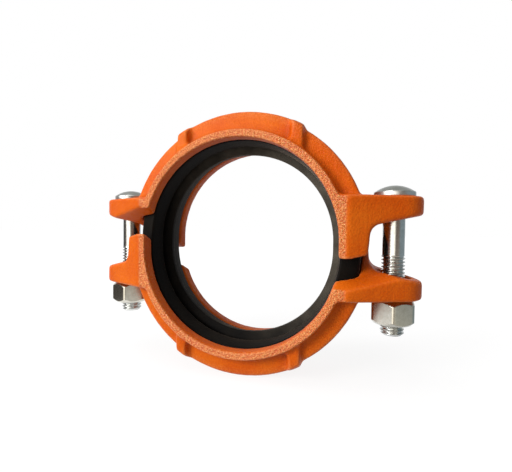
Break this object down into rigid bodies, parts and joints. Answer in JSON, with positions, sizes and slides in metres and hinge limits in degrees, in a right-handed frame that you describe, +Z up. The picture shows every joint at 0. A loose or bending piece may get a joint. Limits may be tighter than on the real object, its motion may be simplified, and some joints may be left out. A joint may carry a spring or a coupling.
{
  "type": "grooved pipe coupling",
  "caption": "Bolted grooved pipe coupling: two half housings over a rubber gasket, loosened so that it slips over two pipe ends and draws together as its nuts are tightened.",
  "frame": {"origin": "on the pipe axis, midway between the two pipe ends and midway between the two half housings", "axes": "+X from the left bolt to the right bolt, +Y along the pipe, away from the viewer, +Z up along the bolts, towards their heads"},
  "size_m": [0.2008, 0.052, 0.1536],
  "materials": {
    "painted_iron": "orange paint over cast ductile iron",
    "gasket_rubber": "matt black moulded rubber",
    "zinc_steel": "bright zinc plated steel"
  },
  "bodies": {
    "lower_half": {"lower_housing": "painted_iron", "gasket": "gasket_rubber"},
    "upper_half": {"upper_housing": "painted_iron", "bolt_left": "zinc_steel", "bolt_right": "zinc_steel"},
    "nut_left": {"nut_left": "zinc_steel"},
    "nut_right": {"nut_right": "zinc_steel"}
  },
  "joints": [
    {"name": "housing_close", "type": "slide", "parent": "lower_half", "child": "upper_half", "axis": [0, 0, 1], "range_m": [-0.015, 0], "deforming": ["gasket"]},
    {"name": "nut_left_spin", "type": "hinge", "parent": "lower_half", "child": "nut_left", "pos_m": [-0.0855, 0, -0.0349], "axis": [0, 0, 1], "range_deg": [0, 2764]},
    {"name": "nut_right_spin", "type": "hinge", "parent": "lower_half", "child": "nut_right", "pos_m": [0.0855, 0, -0.0349], "axis": [0, 0, 1], "range_deg": [0, 2764]}
  ],
  "couplings": [
    {"joint": "nut_left_spin", "follows": "housing_close", "rad_per_m": -3215.6},
    {"joint": "nut_right_spin", "follows": "housing_close", "rad_per_m": -3215.6}
  ]
}
